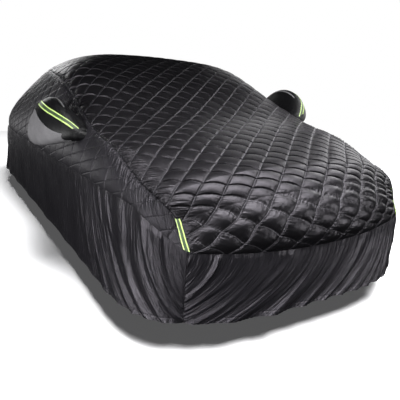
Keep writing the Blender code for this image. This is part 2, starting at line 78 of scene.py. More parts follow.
def aimed(ahead, roll):
    """A turn that looks along a direction, its upper side turned by roll to the right."""
    right = unit(np.cross(ahead, (0.0, 0.0, 1.0)))
    above = np.cross(right, ahead)
    leaned = np.cos(roll) * right + np.sin(roll) * above
    upper = np.cos(roll) * above - np.sin(roll) * right
    return Matrix(np.stack((leaned, upper, -ahead), axis=1).tolist()).to_4x4()


def build_camera():
    """The camera at the photograph's place, with the photograph's angle of view."""
    ahead = np.array((np.sin(CAMERA_YAW) * np.cos(CAMERA_PITCH),
                      np.cos(CAMERA_YAW) * np.cos(CAMERA_PITCH),
                      -np.sin(CAMERA_PITCH)))
    lens = bpy.data.cameras.new("camera")
    lens.lens = CAMERA_LENS
    lens.shift_x, lens.shift_y = CAMERA_SHIFT
    lens.clip_end = 200.0
    camera = bpy.data.objects.new("camera", lens)
    camera.matrix_world = Matrix.Translation(CAMERA_PLACE) @ aimed(ahead, CAMERA_ROLL)
    bpy.context.scene.collection.objects.link(camera)
    bpy.context.scene.camera = camera


def build_lights(floor):
    """A soft rectangular light for each row: the wash is for the floor, the rest for the cloth."""
    groups = {}
    for lights_floor, state in ((True, "INCLUDE"), (False, "EXCLUDE")):
        group = bpy.data.collections.new(f"floor {state.lower()}d")
        group.objects.link(floor)
        group.collection_objects[0].light_linking.link_state = state
        groups[lights_floor] = group
    for row in LIGHTS:
        item = dict(zip(LIGHT_COLUMNS, row))
        lamp = bpy.data.lights.new(item["name"], "AREA")
        lamp.shape = "RECTANGLE"
        lamp.size, lamp.size_y = item["size"]
        lamp.spread = np.radians(item["spread"])
        lamp.energy = item["watts"]
        holder = bpy.data.objects.new(item["name"], lamp)
        ahead = unit(np.subtract(item["aim"], item["place"]) + (0.0, 1e-4, 0.0))
        holder.matrix_world = Matrix.Translation(item["place"]) @ aimed(ahead, 0.0)
        holder.visible_camera = False
        holder.light_linking.receiver_collection = groups[item["lights_floor"]]
        bpy.context.scene.collection.objects.link(holder)


def build_surround():
    """White where the camera looks past the floor, and a soft light that is brighter above."""
    world = bpy.data.worlds.new("surround")
    world.use_nodes = True
    nodes, links = world.node_tree.nodes, world.node_tree.links
    nodes.clear()
    place, split, ramp, seen, mix, shine, out = (nodes.new(f"ShaderNode{kind}") for kind in (
        "TexCoord", "SeparateXYZ", "ValToRGB", "LightPath", "Mix", "Background", "OutputWorld"))
    mix.data_type = "RGBA"
    ramp.color_ramp.elements[0].color = SURROUND_LOW
    ramp.color_ramp.elements[1].color = SURROUND_HIGH
    mix.inputs["B"].default_value = SURROUND_SEEN
    links.new(place.outputs["Generated"], split.inputs[0])
    links.new(split.outputs["Z"], ramp.inputs[0])
    links.new(ramp.outputs["Color"], mix.inputs["A"])
    links.new(seen.outputs["Is Camera Ray"], mix.inputs["Factor"])
    links.new(mix.outputs["Result"], shine.inputs["Color"])
    links.new(shine.outputs[0], out.inputs[0])
    bpy.context.scene.world = world


def build_floor():
    """A wide, matt, pale floor."""
    corners = np.array(((-1, -1), (1, -1), (1, 1), (-1, 1)), float) * FLOOR_HALF_SIZE
    points = np.column_stack((corners, np.full(4, FLOOR_HEIGHT)))
    mesh = bpy.data.meshes.new("floor")
    mesh.from_pydata(points.tolist(), [], [(0, 1, 2, 3)])
    material = bpy.data.materials.new("pale floor")
    material.use_nodes = True
    shader = material.node_tree.nodes["Principled BSDF"]
    shader.inputs["Base Color"].default_value = FLOOR_COLOUR
    shader.inputs["Roughness"].default_value = FLOOR_ROUGHNESS
    shader.inputs["Emission Color"].default_value = FLOOR_COLOUR
    shader.inputs["Emission Strength"].default_value = FLOOR_GLOW
    mesh.materials.append(material)
    floor = bpy.data.objects.new("floor", mesh)
    # The cloth neither mirrors the floor nor is lit up by it, so it stays black.
    floor.visible_glossy = False
    floor.visible_diffuse = False
    bpy.context.scene.collection.objects.link(floor)
    return floor


bpy.context.scene.view_settings.view_transform = "Standard"
build_camera()
build_surround()
build_lights(build_floor())


# ---- Quilted top panel ----
# One padded black cloth from the nose over the crown to the tail, stitched in diamonds to its
# wadding. It is cut from quilted roll and sewn along both sides, gathered, to the side bands.

# The tables give heights above the floor, and the part's frame starts under the crown.
FRAME_SHIFT = np.array((0.0, 0.600, 1.430))
TOP_THICKNESS = 0.005
STATION_COLUMNS = ("mid_y", "mid_z", "seam_x", "seam_y", "seam_z", "low_x", "low_y", "low_z",
                   "crown", "puff")
STATIONS = {
    "front edge": (-2.100, 0.500, 0.748, -1.985, 0.532, 0.748, -1.985, 0.532, 2.2, 0.016),
    "nose": (-2.120, 0.610, 0.753, -1.955, 0.580, 0.748, -1.985, 0.532, 2.2, 0.022),
    "nose top": (-2.100, 0.720, 0.757, -1.924, 0.632, 0.748, -1.985, 0.532, 2.4, 0.022),
    "corner": (-2.035, 0.800, 0.766, -1.902, 0.676, 0.748, -1.985, 0.532, 2.6, 0.018),
    "front lip": (-1.930, 0.858, 0.800, -1.838, 0.730, 0.858, -1.846, 0.640, 3.0, 0.014),
    "deck front": (-1.700, 0.912, 0.832, -1.670, 0.790, 0.896, -1.690, 0.696, 3.2, 0.011),
    "deck": (-1.350, 0.978, 0.848, -1.360, 0.908, 0.936, -1.360, 0.715, 3.4, 0.009),
    "deck rear": (-1.000, 1.042, 0.845, -1.020, 0.970, 0.947, -1.020, 0.720, 3.6, 0.008),
    "rise foot": (-0.750, 1.128, 0.835, -0.770, 1.045, 0.948, -0.760, 0.715, 4.0, 0.008),
    "rise": (-0.450, 1.258, 0.815, -0.460, 1.130, 0.948, -0.450, 0.710, 7.0, 0.007),
    "rise head": (-0.100, 1.370, 0.793, -0.120, 1.222, 0.947, -0.110, 0.705, 7.5, 0.007),
    "crown front": (0.250, 1.416, 0.758, 0.250, 1.262, 0.946, 0.250, 0.700, 3.8, 0.007),
    "crown": (0.600, 1.430, 0.694, 0.600, 1.272, 0.942, 0.600, 0.695, 2.6, 0.007),
    "crown rear": (1.150, 1.400, 0.612, 1.150, 1.222, 0.932, 1.150, 0.685, 2.6, 0.007),
    "fall": (1.600, 1.280, 0.645, 1.580, 1.075, 0.890, 1.600, 0.670, 3.0, 0.007),
    "tail deck front": (1.950, 1.125, 0.682, 1.910, 0.948, 0.832, 1.940, 0.650, 3.0, 0.008),
    "tail deck": (2.180, 1.060, 0.692, 2.100, 0.885, 0.790, 2.140, 0.620, 2.8, 0.009),
    "rear corner": (2.330, 0.990, 0.704, 2.220, 0.825, 0.712, 2.285, 0.560, 2.6, 0.010),
    "tail": (2.405, 0.860, 0.706, 2.275, 0.720, 0.712, 2.285, 0.560, 2.4, 0.011),
    "rear edge": (2.415, 0.540, 0.706, 2.290, 0.560, 0.712, 2.285, 0.560, 2.2, 0.009),
}
BOW_POWER = 2.2  # how the front and rear edges bow between the corners
COLUMNS_ACROSS = 164  # steps of the fine grid across the panel
INSIDE_STEP = 4  # steps of a large piece's fine grid that make one on its inside
# Steps of the fine grid up to each place along the centre line, and up to its end.
STEP_PLACES = (0.0, 0.30, 1.05, 2.50)
STEP_COUNTS = (0, 48, 216, 396, 548)
# Where each row of stitch crossings lies along the centre line, which crossing the centre line
# meets there, half a diamond's width, and how far the row slants over the panel.
ROW_COLUMNS = ("row", "place", "middle", "pitch", "slant")
QUILT_ROWS = (
    (-5, -0.060, 6.40, 0.1020, 0.25),
    (-3, 0.081, 6.97, 0.0960, 0.23),
    (-2, 0.150, 7.27, 0.0925, 0.17),
    (-1, 0.222, 7.95, 0.0870, 0.15),
    (0, 0.275, 8.24, 0.0833, 0.08),
    (1, 0.323, 8.73, 0.0790, 0.04),
    (2, 0.376, 9.00, 0.0795, 0.03),
    (3, 0.427, 9.31, 0.0810, 0.03),
    (4, 0.477, 9.68, 0.0800, 0.01),
    (5, 0.545, 9.85, 0.0790, 0.00),
    (6, 0.616, 9.91, 0.0790, 0.00),
    (7, 0.688, 10.01, 0.0790, 0.00),
    (70, 5.630, 10.05, 0.0785, 0.00),
)
SLANT_REACH = 0.45  # beyond this distance from the centre line a row's slant levels out
SCALLOP = 0.13  # how far the crosswise stitch lines arch between crossings
LEAST_PADDING = 0.0022  # under a line of stitches
# The smaller its power, the fuller a diamond and the narrower its groove.
PILLOW_PLACES = (0.0, 0.35, 0.60)
PILLOW_POWERS = (0.50, 0.45, 0.28)
PUCKER_PLACES = (0.0, 0.45, 1.0, 5.6)
PUCKERS = (0.16, 0.10, 0.05, 0.04)  # their height, as a share of the diamonds' puff
PUCKER_REACH = 0.12  # how far puckers run out from a stitch line, in diamond sides
CLOTH_SHEEN = (1.0, 0.94, 1.05, 1.0)  # the cloth's gloss is very slightly violet
# the stitch lines' pale colour: partly thread, partly a painted highlight along them
THREAD_AND_HIGHLIGHT_COLOUR = (0.100, 0.097, 0.108, 1.0)
GATHER_REACH = 0.060  # how far the seam's gathers run into the panel
GATHER_WAVES = ((0.021, 0.30), (0.034, 0.22), (0.0135, 0.12))
GATHER_HEIGHT = 0.0100
GATHER_LEAN = 0.25
GATHER_START = 0.010  # from the seam, the gathers rise over this distance
TIGHT_PLACES = (0.00, 0.34, 0.42, 1.00, 1.60, 5.60)
TIGHTNESS = (0.00, 0.05, 1.20, 0.90, 0.40, 0.30)  # how tightly the seam is gathered there
STRIP_CLEARANCE = 0.045  # the padding rises this slowly beside the corner strips
RIM_REACH = 0.020  # and this slowly beside any other sewn edge of the panel


def smooth_through(knots, values, at):
    """A Catmull-Rom curve through the values, whose knots may be unevenly spaced."""
    steps = np.diff(knots)[:, None]
    slopes = np.diff(values, axis=0) / steps
    inner = (slopes[:-1] * steps[1:] + slopes[1:] * steps[:-1]) / (steps[:-1] + steps[1:])
    tangents = np.vstack((slopes[:1], inner, slopes[-1:]))
    part = np.clip(np.searchsorted(knots, at, side="right") - 1, 0, len(steps) - 1)
    u = (np.asarray(at) - knots[part])[:, None] / steps[part]
    start = (2 * u**3 - 3 * u**2 + 1) * values[part]
    leave = (u**3 - 2 * u**2 + u) * steps[part] * tangents[part]
    end = (3 * u**2 - 2 * u**3) * values[part + 1]
    arrive = (u**3 - u**2) * steps[part] * tangents[part + 1]
    return start + leave + end + arrive


def lengths_along(points, axis=0):
    """Distance from the first point along a line, or along each line of a grid."""
    steps = np.linalg.norm(np.diff(points, axis=axis), axis=-1)
    start = np.zeros_like(np.take(steps, (0,), axis=axis))
    return np.concatenate((start, np.cumsum(steps, axis=axis)), axis=axis)


def points_of(*axes):
    """A grid of points from a grid, a row or a column for each axis."""
    return np.stack(np.broadcast_arrays(*axes), axis=2)


def normals_of(grid):
    """Unit normals of a grid of points, from its steps along both directions."""
    normals = np.cross(np.gradient(grid, axis=1), np.gradient(grid, axis=0))
    return normals / np.linalg.norm(normals, axis=2, keepdims=True)


STATION_VALUES = np.array(list(STATIONS.values()))
STATION_KNOTS = lengths_along(STATION_VALUES[:, :2])
STATION_PLACES = dict(zip(STATIONS, STATION_KNOTS))


def stations_at(places):
    """Each named column of the stations, read at places along the centre line."""
    rows = smooth_through(STATION_KNOTS, STATION_VALUES, places)
    return dict(zip(STATION_COLUMNS, rows.T))


def top_surface(places, across):
    """An arch between the seams at each place: height falls with a power of the share across."""
    at = stations_at(places)
    share = across[None, :]
    bow = np.abs(share) ** BOW_POWER
    arch = np.abs(share) ** at["crown"][:, None]
    x = at["seam_x"][:, None] * share
    y = at["mid_y"][:, None] + (at["seam_y"] - at["mid_y"])[:, None] * bow
    z = at["mid_z"][:, None] + (at["seam_z"] - at["mid_z"])[:, None] * arch
    return points_of(x, y, z)


def uneven(along, seed, waves):
    """A smooth uneven line: a sum of sines, by pitch and height, with phases from the seed."""
    random = np.random.default_rng(seed)
    total = np.zeros_like(along)
    for pitch, share in waves:
        total += share * np.sin(2 * np.pi / pitch * along + random.uniform(0.0, 2.0 * np.pi))
    return total


def phase_of(index, salt):
    """A number from 0 to 1 for each whole index: the fraction of a large sine."""
    value = np.sin(index * 12.9898 + salt * 78.233) * 43758.5453
    return value - np.floor(value)


def quilting(a, b, fullness, puckers):
    """Height of diamond quilting, as a share of its puff, where a and b count stitch lines.

    A pillow is a power of the product of two sines, so it falls steeply to every stitch line.
    Beside a line the cloth puckers: short waves along the line that die away from it.
    """
    pillow = np.abs(np.sin(np.pi * a) * np.sin(np.pi * b)) ** fullness
    total = pillow
    for off, along, salt in ((a, b, 1.0), (b, a, 2.0)):
        line = np.round(off)
        away = np.abs(off - line)
        cell = np.floor(along)
        turn = 2.0 * np.pi * phase_of(line * 7.0 + cell, salt)
        wave = np.sin(9.0 * np.pi * along + turn) + 0.7 * np.sin(14.6 * np.pi * along - turn)
        ends = np.sin(np.pi * (along - cell)) ** 0.5
        total = total + puckers * wave * ends * np.exp(-away / PUCKER_REACH) * away / PUCKER_REACH
    return total


def gathers(along, from_seam, places, seed):
    """Height of the gathers beside a seam: uneven ripples across it that die away from it."""
    ripple = uneven(along + GATHER_LEAN * from_seam, seed, GATHER_WAVES)
    tight = np.interp(places, TIGHT_PLACES, TIGHTNESS)[:, None]
    fade = np.exp(-(from_seam / GATHER_REACH) ** 1.4) * np.clip(from_seam / GATHER_START, 0.0, 1.0)
    return GATHER_HEIGHT * tight * (ripple + 0.35) * fade


def cloth_mesh(name, side, outer, inner, stride, **coordinates):
    """A closed sheet: an outer grid, a thinned inner one and n-sided faces round the rim.

    The grids describe the cover's left, or its middle, and are mirrored where side is negative.
    The inner one keeps every stride-th point. Each named grid of coordinates becomes a UV map:
    "cloth" holds the flat cloth's, in metres.
    """
    if side < 0:
        outer, inner = (grid[:, ::-1] * np.array((-1.0, 1.0, 1.0)) for grid in (outer, inner))
        coordinates = {label: grid[:, ::-1] for label, grid in coordinates.items()}
    inner = inner[::stride, ::stride]
    rows, columns = outer.shape[:2]
    few_rows, few_columns = inner.shape[:2]
    number = np.arange(rows * columns).reshape(rows, columns)
    inside = np.arange(few_rows * few_columns).reshape(few_rows, few_columns) + rows * columns
    face = np.stack((number[:-1, :-1], number[:-1, 1:], number[1:, 1:], number[1:, :-1]), axis=2)
    back = np.stack((inside[:-1, :-1], inside[1:, :-1], inside[1:, 1:], inside[:-1, 1:]), axis=2)
    quads = np.concatenate((face.reshape(-1, 4), back.reshape(-1, 4)))
    rims = []
    for fine, coarse in ((number[0], inside[0]), (number[:, -1], inside[:, -1]),
                         (number[-1, ::-1], inside[-1, ::-1]), (number[::-1, 0], inside[::-1, 0])):
        starts = np.arange(len(coarse) - 1)
        near = fine[starts[:, None] * stride + np.arange(stride, -1, -1)]
        rims.append(np.column_stack((near, coarse[starts], coarse[starts + 1])))
    rims = np.concatenate(rims)
    points = np.concatenate((outer.reshape(-1, 3), inner.reshape(-1, 3))) - FRAME_SHIFT
    corners = np.concatenate((quads.ravel(), rims.ravel()))
    sizes = np.concatenate((np.full(len(quads), 4), np.full(len(rims), rims.shape[1])))
    mesh = bpy.data.meshes.new(name)
    mesh.vertices.add(len(points))
    mesh.vertices.foreach_set("co", points.astype(np.float32).ravel())
    mesh.loops.add(len(corners))
    mesh.loops.foreach_set("vertex_index", corners.astype(np.int32))
    mesh.polygons.add(len(sizes))
    starts = np.concatenate(((0,), np.cumsum(sizes)[:-1]))
    mesh.polygons.foreach_set("loop_start", starts.astype(np.int32))
    mesh.polygons.foreach_set("use_smooth", np.ones(len(sizes), bool))
    mesh.update(calc_edges=True)
    for label, grid in coordinates.items():
        both = np.concatenate((grid.reshape(-1, 2), grid[::stride, ::stride].reshape(-1, 2)))
        layer = mesh.uv_layers.new(name=label)
        layer.data.foreach_set("uv", both[corners].astype(np.float32).ravel())
    mesh.validate()
    mesh.set_sharp_from_angle(angle=np.radians(65.0))
    piece = bpy.data.objects.new(name, mesh)
    bpy.context.scene.collection.objects.link(piece)
    return piece


def dress(piece, node, material, slot, **cut):
    """Give a piece its material and the solid that it stands for; the size its cloth was cut to is
    not used.
    """
    piece.data.materials.append(material)
    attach(piece, "root")
    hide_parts(node)


class Wire:
    """An output of a shader node, on which arithmetic adds Math nodes."""

    def __init__(self, finish, socket):
        self.finish = finish
        self.socket = socket

    def __add__(self, other):
        return self.finish.math("ADD", self, other)

    def __sub__(self, other):
        return self.finish.math("SUBTRACT", self, other)

    def __rsub__(self, other):
        return self.finish.math("SUBTRACT", other, self)

    def __mul__(self, other):
        return self.finish.math("MULTIPLY", self, other)

    def __truediv__(self, other):
        return self.finish.math("DIVIDE", self, other)

    def __pow__(self, other):
        return self.finish.math("POWER", self, other)

    __radd__ = __add__
    __rmul__ = __mul__


class Finish:
    """A material under construction round one Principled shader."""

    def __init__(self, name, **constants):
        self.material = bpy.data.materials.new(name)
        self.material.use_nodes = True
        self.tree = self.material.node_tree
        self.shader = self.tree.nodes["Principled BSDF"]
        for socket, value in constants.items():
            self.shader.inputs[socket.replace("_", " ")].default_value = value

    def node(self, kind, settings, inputs, output=0):
        """Add a node: its settings first, then the value or link of each socket."""
        made = self.tree.nodes.new(kind)
        for setting, value in settings.items():
            if setting == "stops":
                stops = made.color_ramp.elements
                for place, colour in value[2:]:
                    stops.new(place)
                for stop, (place, colour) in zip(stops, sorted(value)):
                    stop.position = place
                    stop.color = colour
            else:
                setattr(made, setting, value)
        for socket, value in inputs.items():
            if isinstance(value, Wire):
                self.tree.links.new(value.socket, made.inputs[socket])
            else:
                made.inputs[socket].default_value = value
        return Wire(self, made.outputs[output])

    def math(self, operation, *values):
        """A Math node on numbers and wires."""
        return self.node("ShaderNodeMath", {"operation": operation}, dict(enumerate(values)))

    def mix(self, factor, first, second):
        """A mix of two colours."""
        inputs = {0: factor, 6: first, 7: second}
        return self.node("ShaderNodeMix", {"data_type": "RGBA"}, inputs, 2)

    def parted(self, label):
        """A UV map and its two coordinates."""
        whole = self.node("ShaderNodeUVMap", {"uv_map": label}, {})
        return whole, *(self.node("ShaderNodeSeparateXYZ", {}, {0: whole}, axis) for axis in (0, 1))

    def seam_creases(self, reach):
        """Height of small creases across a seam, which die away from it."""
        seam, along, away = self.parted("seam")
        near = self.math("MAXIMUM", 1.0 - away / reach, 0.0)
        tight = self.ramp(along, (0.10, 0.3), (0.32, 1.0), (1.00, 0.25))
        return self.noise(seam, 75.0, 2.0, (1.0, 0.14, 1.0)) * near * tight

    def from_line(self, count):
        """Distance from the nearest whole number: 0 on a stitch line, 0.5 between two."""
        return self.math("PINGPONG", count, 0.5)

    def noise(self, place, scale, detail=2.0, stretch=(1.0, 1.0, 1.0)):
        """Noise over a place whose axes may be stretched."""
        turned = self.node("ShaderNodeMapping", {}, {"Vector": place, "Scale": stretch})
        inputs = {"Vector": turned, "Scale": scale, "Detail": detail}
        return self.node("ShaderNodeTexNoise", {}, inputs)

    def ramp(self, value, *stops):
        """A colour ramp on a number. A stop's colour is one number for a grey, or three."""
        stops = [(place, (*(np.ones(3) * colour), 1.0)) for place, colour in stops]
        return self.node("ShaderNodeValToRGB", {"stops": stops}, {0: value})

    def weave(self, place, threads=900.0):
        """Height of a plain weave, so many threads to a metre, one over the other in turn."""
        waves = [self.math("SINE", self.node("ShaderNodeSeparateXYZ", {}, {0: place}, axis)
                           * (2.0 * np.pi * threads)) for axis in (0, 1)]
        return waves[0] * waves[1]

    def finished(self, colour, rough, *layers):
        """The material, with one bump over another for each height, distance and strength."""
        lift = None
        for height, distance, strength in layers:
            inputs = {"Height": height, "Distance": distance, "Strength": strength}
            if lift is not None:
                inputs["Normal"] = lift
            lift = self.node("ShaderNodeBump", {}, inputs)
        for socket, wire in (("Base Color", colour), ("Roughness", rough), ("Normal", lift)):
            self.tree.links.new(wire.socket, self.shader.inputs[socket])
        return self.material


def quilted_cloth():
    """Glossy black polyester: stitched grooves with puckers, pale thread that doubles as painted
    highlight, weave and creases.

    On the deck each diamond also has a steep front wall, which darkens the line before it.
    """
    finish = Finish("quilted cloth", Specular_IOR_Level=0.5, Specular_Tint=CLOTH_SHEEN)
    place, _, along = finish.parted("cloth")
    stitches, a, b = finish.parted("stitches")
    cloud = finish.noise(place, 9.0, 3.0)
    crease = finish.noise(place, 42.0, 4.0, (1.0, 0.6, 1.0))
    from_a, from_b = finish.from_line(a), finish.from_line(b)
    nose = finish.ramp(along, (0.30, 1.0), (0.50, 0.25))
    deck = finish.ramp(along, (0.30, 0.0), (0.48, 1.0), (1.20, 1.0), (1.60, 0.45))
    beside_b = finish.noise(stitches, 1.0, 1.0, (9.0, 0.7, 1.0)) * ((0.5 - from_b) * 2.0) ** 3.0
    beside_a = finish.noise(stitches, 1.0, 1.0, (0.7, 9.0, 1.0)) * ((0.5 - from_a) * 2.0) ** 3.0
    groove = finish.math("MINIMUM", from_a, 0.07)
    wall = finish.math("MINIMUM", finish.math("FRACT", b), 0.13)
    # The stitch lines are painted pale: partly their thread, partly a painted highlight along them.
    # On the crosswise lines the pale paint shows only towards the nose, as a painted highlight.
    a_thread_and_highlight = finish.ramp(from_a, (0.010, 1.0), (0.020, 0.0))
    b_thread_and_highlight = finish.ramp(from_b, (0.010, 1.0), (0.020, 0.0))
    thread_and_highlight = finish.math("MAXIMUM", a_thread_and_highlight * 0.8, b_thread_and_highlight * nose * 0.7)
    black = finish.ramp(cloud, (0.25, (0.0050, 0.0048, 0.0055)),
                        (0.75, (0.0080, 0.0077, 0.0087)))
    colour = finish.mix(thread_and_highlight, black, THREAD_AND_HIGHLIGHT_COLOUR)
    return finish.finished(colour, cloud * 0.12 + 0.38 - nose * 0.12,
                           (crease, 0.0022, 0.55),
                           ((beside_a + beside_b) * nose, 0.0100, 1.0),
                           (finish.seam_creases(0.110), 0.0350, 1.0),
                           (groove * 14.0, 0.0060, 0.9),
                           (wall * deck * 7.7, 0.0450, 1.0),
                           (finish.weave(place), 0.00018, 0.35))


def build_top():
    """The quilted panel: pillows on the arch, gathers along both seams, a stitched-down rim."""
    steps = np.arange(STEP_COUNTS[-1] + 1)
    places = np.interp(steps, STEP_COUNTS, STEP_PLACES + (STATION_KNOTS[-1],))
    across = np.linspace(-1.0, 1.0, COLUMNS_ACROSS + 1)
    base = top_surface(places, across)
    out = normals_of(base)
    lengths = lengths_along(base, axis=1)
    half = lengths[:, -1:] / 2.0
    u = lengths - half
    rows = dict(zip(ROW_COLUMNS, np.array(QUILT_ROWS).T))
    slant = np.interp(places, rows["place"], rows["slant"])[:, None]
    level = places[:, None] - slant * SLANT_REACH * np.tanh(u / SLANT_REACH)
    row, middle, pitch = (np.interp(level, rows["place"], rows[name])
                          for name in ("row", "middle", "pitch"))
    a = 0.5 * (u / pitch + middle - row)
    b = a + row - SCALLOP * np.sin(np.pi * (a - np.floor(a))) ** 0.8
    puff = stations_at(places)["puff"][:, None]
    from_seam = half - np.abs(u)
    from_ends = np.minimum(places, places[-1] - places)[:, None]
    from_rim = np.minimum(from_seam, from_ends)
    reach = np.interp(places, (STATION_PLACES["corner"], STATION_PLACES["front lip"]),
                      (STRIP_CLEARANCE, RIM_REACH))[:, None]
    rim = (1.0 - np.exp(-from_seam / reach)) * (1.0 - np.exp(-from_ends / RIM_REACH))
    puckers = np.interp(places, PUCKER_PLACES, PUCKERS)[:, None]
    fullness = np.interp(places, PILLOW_PLACES, PILLOW_POWERS)[:, None]
    height = puff * quilting(a, b, fullness, puckers) * rim
    along = lengths_along(base)
    height = height + gathers(along, from_seam, places, 11) * np.clip(from_rim / 0.012, 0.0, 1.0)
    lift = LEAST_PADDING + TOP_THICKNESS * rim + np.maximum(height, -0.002)
    outer = base + out * lift[:, :, None]
    piece = cloth_mesh("quilted_top", 1, outer, base, INSIDE_STEP,
                       cloth=points_of(u, places[:, None]), stitches=points_of(a, b),
                       seam=points_of(along, from_seam))
    dress(piece, "top_panel", quilted_cloth(), "quilted_cloth", flat=(1.95, 5.70), area=8.90,
          held="stretched", rests_on=["band_right", "band_left"])


build_top()


# ---- Side bands ----
# Lightly padded black cloth below the gathered seam on each side, quilted in flatter and wider
# diamonds, with an oval hole where a pocket is sewn in.

BAND_THICKNESS = 0.005
BAND_STEPS = ((0.0, 240.0, 620.0), (0.0, 0.19, 1.0))  # steps up to each share of its length
BAND_ROWS = 56
BELT_RISE = 0.45  # where the side turns upright, as a share of the band's height
CORNER_BLEND = 0.0785  # over this distance the band takes the top panel's corner edge
SIDE_ENDS = (STATION_PLACES["corner"], STATION_PLACES["rear corner"])
# Upright stitch lines of the side by their y, and the flat family that rises to the front.
UPRIGHT_LINES = (-2.10, -1.91, -1.76, -1.60, -1.41, -1.22, -1.03, -0.85, 2.40)
UPRIGHT_NUMBERS = (0, 1, 2, 3, 4, 5, 6, 7, 26)
RISING_SLOPE = 0.30
RISING_PITCH = 0.070
RISING_START = (-1.01, 0.71)  # y and height of one line of that family
BAND_PUFF = 0.0065
BAND_TOP_REACH = 0.016  # over these distances the padding rises from the band's edges
BAND_LOW_REACH = 0.050


def bent(start, middle, end, share):
    """Quadratic curves from start to end points, drawn towards the middle ones."""
    share = share[None, :, None]
    bend = (1 - share) ** 2 * start[:, None] + 2 * share * (1 - share) * middle[:, None]
    return bend + share**2 * end[:, None]


def band_grid(places, down):
    """The left side from seam to lower edge, which turns upright at its belt."""
    at = stations_at(places)
    seam, low = (np.stack([at[f"{edge}_{axis}"] for axis in "xyz"], axis=1)
                 for edge in ("seam", "low"))
    belt = 0.5 * (seam + low)
    belt[:, 0] = low[:, 0]
    belt[:, 2] = low[:, 2] + BELT_RISE * (seam[:, 2] - low[:, 2])
    return bent(seam, belt, low, down)


def corner_line(down, front):
    """Edge of the top panel below its front or rear corner, from the corner down."""
    if front:
        places = STATION_PLACES["corner"] * (1.0 - down)
    else:
        start = STATION_PLACES["rear corner"]
        places = start + (STATION_KNOTS[-1] - start) * down
    return top_surface(places, np.array((1.0,)))[:, 0]


def band_surface(places, down):
    """The left side band, drawn to the top panel's corner edges at both ends."""
    grid = band_grid(places, down)
    for front, index in ((True, 0), (False, -1)):
        away = np.abs(places - places[index]) / CORNER_BLEND
        pull = np.clip(1.0 - away, 0.0, 1.0)[:, None, None]
        grid = grid + (corner_line(down, front) - grid[index]) * pull
    return grid


def band_cloth():
    """Black cloth of the sides: duller than the top, with soft upright creases."""
    finish = Finish("side quilt", Specular_IOR_Level=0.42, Specular_Tint=CLOTH_SHEEN)
    place = finish.parted("cloth")[0]
    cloud = finish.noise(place, 5.0, 3.0)
    crease = finish.noise(place, 30.0, 4.0, (0.5, 1.0, 1.0))
    colour = finish.ramp(cloud, (0.25, (0.0150, 0.0144, 0.0170)),
                         (0.75, (0.0205, 0.0197, 0.0228)))
    _, a, b = finish.parted("stitches")
    groove_a = finish.math("MINIMUM", finish.from_line(a), 0.05)
    groove_b = finish.math("MINIMUM", finish.from_line(b), 0.08)
    return finish.finished(colour, cloud * 0.12 + 0.40,
                           (crease, 0.0030, 0.6),
                           (finish.seam_creases(0.130), 0.0400, 1.0),
                           (groove_a * 20.0 + groove_b * 6.0, 0.0045, 0.9),
                           (finish.weave(place), 0.00018, 0.35))


def build_band(word, side, material):
    """One side band: its own stitch lines, gathers below the seam and a stitched-down rim."""
    first, last = SIDE_ENDS
    shares = np.interp(np.arange(BAND_STEPS[0][-1] + 1), *BAND_STEPS)
    places = first + (last - first) * shares
    down = np.linspace(0.0, 1.0, BAND_ROWS + 1)
    base = band_surface(places, down)
    out = normals_of(base)
    drop = lengths_along(base, axis=1)
    along = lengths_along(base)
    from_low = drop[:, -1:] - drop
    from_ends = np.minimum(along, along[-1:] - along)
    rim = 1.0 - np.exp(-drop / BAND_TOP_REACH)
    rim = rim * (1.0 - np.exp(-from_low / BAND_LOW_REACH))
    rim = rim * (1.0 - np.exp(-from_ends / STRIP_CLEARANCE))
    y, z = base[:, :, 1], base[:, :, 2]
    a = np.interp(y, UPRIGHT_LINES, UPRIGHT_NUMBERS)
    b = (z - RISING_START[1] + RISING_SLOPE * (y - RISING_START[0])) / RISING_PITCH
    upright = np.abs(np.sin(np.pi * a)) ** 0.35
    rising = 0.65 + 0.35 * np.abs(np.sin(np.pi * b)) ** 0.6
    height = BAND_PUFF * upright * rising * rim
    height += gathers(along, drop, places, 21)
    lift = LEAST_PADDING + BAND_THICKNESS * rim + np.maximum(height, -0.0015)
    piece = cloth_mesh(f"quilted_band_{word}", side, base + out * lift[:, :, None], base,
                       INSIDE_STEP, cloth=points_of(along, drop),
                       seam=points_of(along + places[0], drop), stitches=points_of(a, b))
    dress(piece, f"band_{word}", material, "quilted_cloth", flat=(0.62, 5.05), area=1.95,
          held="stretched", rests_on=[f"skirt_{word}"])


side_quilt = band_cloth()
build_band("right", -1, side_quilt)
build_band("left", 1, side_quilt)


# ---- Skirts ----
# Four pieces of plain, unquilted cloth sewn under the quilting, with an elastic hem folded up
# inside their own cloth. They hang in loose folds, deepest at the corners.

SKIRT_THICKNESS = 0.003
# Steps up to each share of a skirt's length, and its rows from seam to hem.
SKIRT_STEPS = {
    "side": ((0.0, 300.0, 640.0), (0.0, 0.26, 1.0), 60),
    "front": ((0.0, 440.0), (0.0, 1.0), 60),
    "rear": ((0.0, 240.0), (0.0, 1.0), 40),
}
HEM_HALF_WIDTH = 0.948
HEM_FRONT = 2.095
HEM_REAR = 2.385
HEM_END_DEPTH = 0.75
HEM_POWER = 3.3
HEM_TAPER = 0.090  # how much of its width the hem loses towards the rear
HEM_TAPER_FROM = 0.600
HEM_HEIGHT = 0.170
HEM_FRONT_CORNER_X = 0.745
HEM_REAR_CORNER_X = 0.700
HEM_WAVE = 0.0015
HEM_WAVE_TURNS = 9.0
FOLD_FADE = 0.035
FOLD_CURVE = 1.8  # folds are upright at their top and bend towards the hem
FOLD_FULLNESS = 1.8  # the larger, the flatter a fold's crest
FOLD_COLUMNS = ("place", "width", "depth", "top", "lean")
